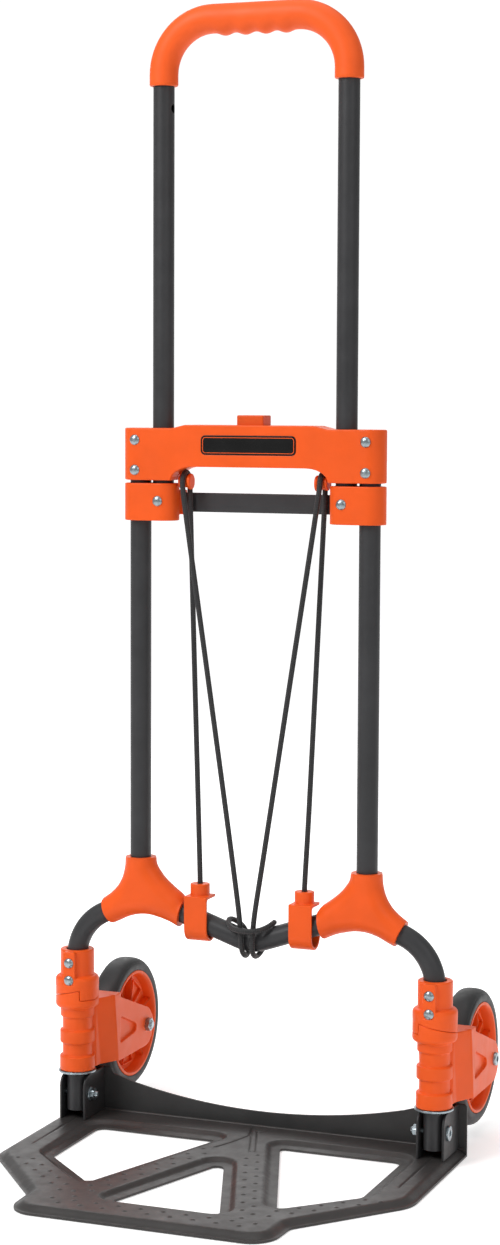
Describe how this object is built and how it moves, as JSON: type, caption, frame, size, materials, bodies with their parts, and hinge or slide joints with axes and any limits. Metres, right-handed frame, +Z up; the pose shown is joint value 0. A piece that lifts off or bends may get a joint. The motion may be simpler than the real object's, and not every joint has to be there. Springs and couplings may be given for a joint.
{
  "type": "folding luggage cart",
  "caption": "Folding hand truck with a telescopic handle, spring latch, fold-up toe plate, swing-in wheels and an elastic tie cord.",
  "frame": {"origin": "middle of the footprint on the floor, under the cart standing open on its toe plate", "axes": "+X to the cart's left as seen from behind it (right in the front view), +Y from the toe plate to the wheels, +Z up along the handle"},
  "size_m": [0.4016, 0.43, 1.018],
  "materials": {
    "tube_steel": "satin dark grey powder coat",
    "orange_plastic": "moulded orange, satin",
    "zinc": "bright zinc plate",
    "badge_black": "gloss black with a thin orange border",
    "spring_steel": "plain spring wire",
    "cord_cover": "braided black sheath over rubber",
    "bar_steel": "satin black flat bar",
    "black_plastic": "moulded black",
    "plate_steel": "satin dark grey powder coat on pressed sheet",
    "bracket_steel": "satin black",
    "tyre_rubber": "smooth dark grey rubber",
    "bush_plastic": "natural nylon"
  },
  "bodies": {
    "frame": {"base_tube": "tube_steel", "upright_left": "tube_steel", "upright_right": "tube_steel", "joint_cover_left": "orange_plastic", "joint_cover_right": "orange_plastic", "housing_front": "orange_plastic", "housing_rear": "orange_plastic", "housing_rivets": "zinc", "badge_plate": "badge_black", "leg_collar_left": "orange_plastic", "leg_collar_right": "orange_plastic", "collar_rivets": "zinc", "fold_spring_left": "spring_steel", "fold_spring_right": "spring_steel", "bungee_cord": "cord_cover", "cord_clip_left": "orange_plastic", "cord_clip_right": "orange_plastic", "latch_spring": "spring_steel"},
    "handle": {"handle_tube": "tube_steel", "handle_grip": "orange_plastic", "clamp_left": "orange_plastic", "clamp_right": "orange_plastic", "clamp_rivets": "zinc", "crossbar": "bar_steel", "handle_end_plugs": "black_plastic"},
    "button": {"release_button": "orange_plastic"},
    "latch_left": {"latch_slider_left": "black_plastic"},
    "latch_right": {"latch_slider_right": "black_plastic"},
    "toe_plate": {"toe_plate": "plate_steel", "hinge_bracket_left": "bracket_steel", "hinge_bracket_right": "bracket_steel", "hinge_bolts": "zinc", "hinge_nuts": "zinc"},
    "washer_left": {"thrust_washer_left": "zinc"},
    "washer_right": {"thrust_washer_right": "zinc"},
    "yoke_left": {"yoke_left": "orange_plastic", "axle_bolt_left": "zinc", "axle_nut_left": "zinc"},
    "yoke_right": {"yoke_right": "orange_plastic", "axle_bolt_right": "zinc", "axle_nut_right": "zinc"},
    "wheel_left": {"wheel_rim_left": "orange_plastic", "tyre_left": "tyre_rubber", "wheel_bush_left": "bush_plastic"},
    "wheel_right": {"wheel_rim_right": "orange_plastic", "tyre_right": "tyre_rubber", "wheel_bush_right": "bush_plastic"}
  },
  "joints": [
    {"name": "handle_slide", "type": "slide", "parent": "frame", "child": "handle", "axis": [0, 0, -1], "range_m": [0, 0.3]},
    {"name": "button_press", "type": "slide", "parent": "frame", "child": "button", "axis": [0, 0, -1], "range_m": [0, 0.006], "stiffness_N_per_m": 900, "springref_m": -0.002},
    {"name": "latch_left_slide", "type": "slide", "parent": "frame", "child": "latch_left", "axis": [1, 0, 0], "range_m": [0, 0.003]},
    {"name": "latch_right_slide", "type": "slide", "parent": "frame", "child": "latch_right", "axis": [-1, 0, 0], "range_m": [0, 0.003]},
    {"name": "toe_plate_fold", "type": "hinge", "parent": "frame", "child": "toe_plate", "pos_m": [0, 0.048, 0.0295], "axis": [-1, 0, 0], "range_deg": [0, 90]},
    {"name": "washer_drop_left", "type": "slide", "parent": "frame", "child": "washer_left", "axis": [0, 0, -1], "range_m": [0, 0.0065]},
    {"name": "washer_drop_right", "type": "slide", "parent": "frame", "child": "washer_right", "axis": [0, 0, -1], "range_m": [0, 0.0065]},
    {"name": "wheel_fold_left", "type": "hinge", "parent": "washer_left", "child": "yoke_left", "pos_m": [-0.173, 0.048, 0.0725], "axis": [0, 0, -1], "range_deg": [0, 90]},
    {"name": "wheel_fold_right", "type": "hinge", "parent": "washer_right", "child": "yoke_right", "pos_m": [0.173, 0.048, 0.0725], "axis": [0, 0, 1], "range_deg": [0, 90]},
    {"name": "wheel_spin_left", "type": "hinge", "parent": "yoke_left", "child": "wheel_left", "pos_m": [-0.173, 0.1525, 0.0725], "axis": [1, 0, 0], "continuous": true},
    {"name": "wheel_spin_right", "type": "hinge", "parent": "yoke_right", "child": "wheel_right", "pos_m": [0.173, 0.1525, 0.0725], "axis": [1, 0, 0], "continuous": true}
  ],
  "couplings": [
    {"joint": "latch_left_slide", "follows": "button_press", "ratio": 0.5},
    {"joint": "latch_right_slide", "follows": "button_press", "ratio": 0.5},
    {"joint": "washer_drop_left", "follows": "toe_plate_fold", "m_per_rad": 0.0041379},
    {"joint": "washer_drop_right", "follows": "toe_plate_fold", "m_per_rad": 0.0041379},
    {"joint": "wheel_fold_left", "follows": "toe_plate_fold", "ratio": 1},
    {"joint": "wheel_fold_right", "follows": "toe_plate_fold", "ratio": 1}
  ]
}
